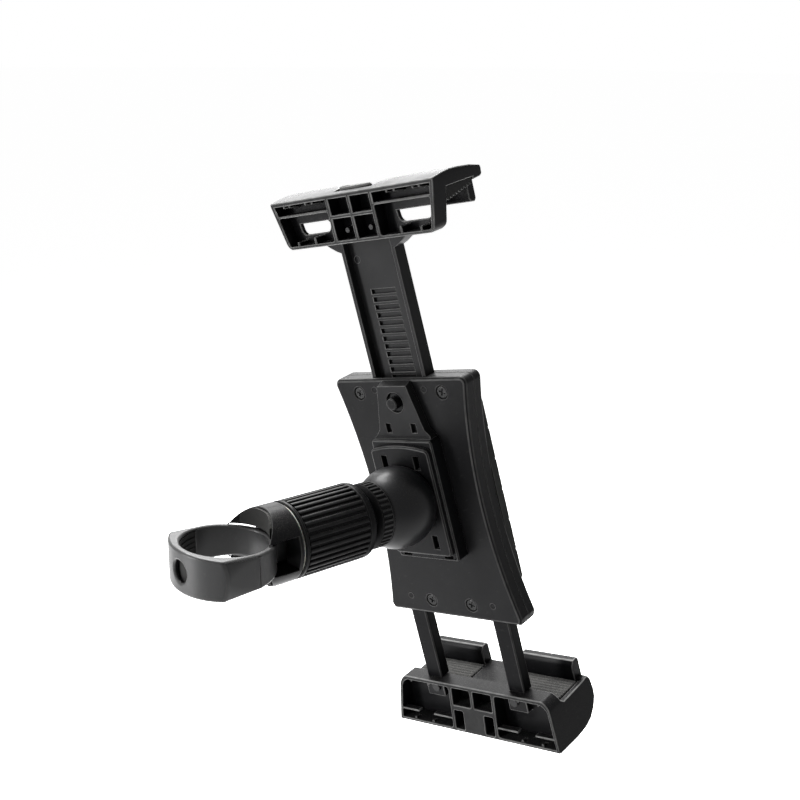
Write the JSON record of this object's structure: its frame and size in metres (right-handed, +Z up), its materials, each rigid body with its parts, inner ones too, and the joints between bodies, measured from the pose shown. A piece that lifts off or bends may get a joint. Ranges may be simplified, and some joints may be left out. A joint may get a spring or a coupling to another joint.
{
  "type": "tablet clamp holder",
  "caption": "Pole-mounted tablet holder: clamp ring with ribbed grip sleeve, lockable ball joint and a quick-release cradle whose hooked jaws slide on a ladder arm and bars.",
  "frame": {"origin": "centre of the pole clamp's bore, halfway up the ring", "axes": "+Z up along the pole, +Y along the arm from the pole to the cradle, +X to the right when facing the cradle from the pole"},
  "size_m": [0.1459, 0.1901, 0.2837],
  "materials": {
    "black_moulding": "satin moulded black nylon with a fine grain",
    "gloss_dome": "polished black",
    "button_plastic": "satin black",
    "black_rubber": "matt black rubber",
    "white_nylon": "natural nylon, slightly waxy",
    "zinc_steel": "zinc-plated steel",
    "black_steel": "black-oxide steel"
  },
  "bodies": {
    "pole_clamp_body": {"clamp_ring": "black_moulding", "ring_liner": "black_rubber", "threaded_stem": "zinc_steel", "tongue_pin": "zinc_steel", "joint_bolt": "zinc_steel", "bolt_nut": "zinc_steel", "disc_springs": "zinc_steel"},
    "saddle": {"saddle_shoe": "black_moulding", "saddle_pads": "black_rubber", "thrust_washer": "white_nylon"},
    "sleeve": {"grip_sleeve": "black_moulding", "sleeve_nut": "zinc_steel"},
    "seat": {"collar_seat": "white_nylon"},
    "collar": {"lock_collar": "black_moulding"},
    "swivel_cup": {"inner_cup": "zinc_steel"},
    "pan_cup": {"cup_liner": "white_nylon"},
    "ball_mount": {"ball_dome": "gloss_dome", "ball_plate": "black_moulding", "dome_screws": "zinc_steel"},
    "cradle": {"receiver_plate": "black_moulding", "latch_block": "black_moulding", "button_spring": "zinc_steel", "rear_cover": "black_moulding", "front_cover": "black_moulding", "rest_pads": "black_rubber", "cover_screws": "black_steel", "detent_spring": "zinc_steel", "detent_rivets": "zinc_steel", "bar_brakes": "white_nylon"},
    "button": {"release_button": "button_plastic"},
    "upper_jaw": {"upper_arm": "black_moulding", "upper_jaw_shell": "black_moulding", "upper_jaw_pad": "black_rubber", "upper_jaw_screws": "black_steel", "jaw_cap": "black_rubber"},
    "lower_jaw": {"lower_bar_left": "black_moulding", "lower_bar_right": "black_moulding", "lower_jaw_shell": "black_moulding", "lower_jaw_pad": "black_rubber", "lower_jaw_screws": "black_steel", "bar_bridge": "zinc_steel", "bridge_rivets": "zinc_steel"}
  },
  "joints": [
    {"name": "saddle_travel", "type": "slide", "parent": "pole_clamp_body", "child": "saddle", "axis": [0, 1, 0], "range_m": [-0.0045, 0.0015]},
    {"name": "sleeve_turn", "type": "hinge", "parent": "saddle", "child": "sleeve", "pos_m": [0, 0.045, 0], "axis": [0, 1, 0], "range_deg": [-540, 180]},
    {"name": "seat_travel", "type": "slide", "parent": "pole_clamp_body", "child": "seat", "axis": [0, 1, 0], "range_m": [-0.0009, 0]},
    {"name": "collar_turn", "type": "hinge", "parent": "seat", "child": "collar", "pos_m": [0, 0.073, 0], "axis": [0, 1, 0], "range_deg": [-216, 0]},
    {"name": "swivel", "type": "hinge", "parent": "pole_clamp_body", "child": "swivel_cup", "pos_m": [0, 0.09, 0], "axis": [0, 1, 0], "range_deg": [-180, 180]},
    {"name": "pan", "type": "hinge", "parent": "swivel_cup", "child": "pan_cup", "pos_m": [0, 0.09, 0], "axis": [-0.1994, 0, 0.9799], "range_deg": [-24, 6]},
    {"name": "tilt", "type": "hinge", "parent": "pan_cup", "child": "ball_mount", "pos_m": [0, 0.09, 0], "axis": [0.9679, 0.1564, 0.1969], "range_deg": [-25.2, 4.8]},
    {"name": "quick_release", "type": "slide", "parent": "ball_mount", "child": "cradle", "axis": [-0.1691, -0.1749, 0.97], "range_m": [0, 0.0026]},
    {"name": "button_press", "type": "slide", "parent": "cradle", "child": "button", "axis": [-0.1862, 0.9721, 0.1428], "range_m": [0, 0.0016], "stiffness_N_per_m": 800, "springref_m": -0.0008, "deforming": ["button_spring"]},
    {"name": "upper_jaw_slide", "type": "slide", "parent": "cradle", "child": "upper_jaw", "axis": [-0.1691, -0.1749, 0.97], "range_m": [-0.0518, 0.0185]},
    {"name": "lower_jaw_slide", "type": "slide", "parent": "cradle", "child": "lower_jaw", "axis": [0.1691, 0.1749, -0.97], "range_m": [-0.033, 0.04]}
  ],
  "couplings": [
    {"joint": "saddle_travel", "follows": "sleeve_turn", "m_per_rad": 0.00047746},
    {"joint": "seat_travel", "follows": "collar_turn", "m_per_rad": 0.00023873},
    {"joint": "button_press", "follows": "quick_release", "ratio": 0.61538}
  ]
}
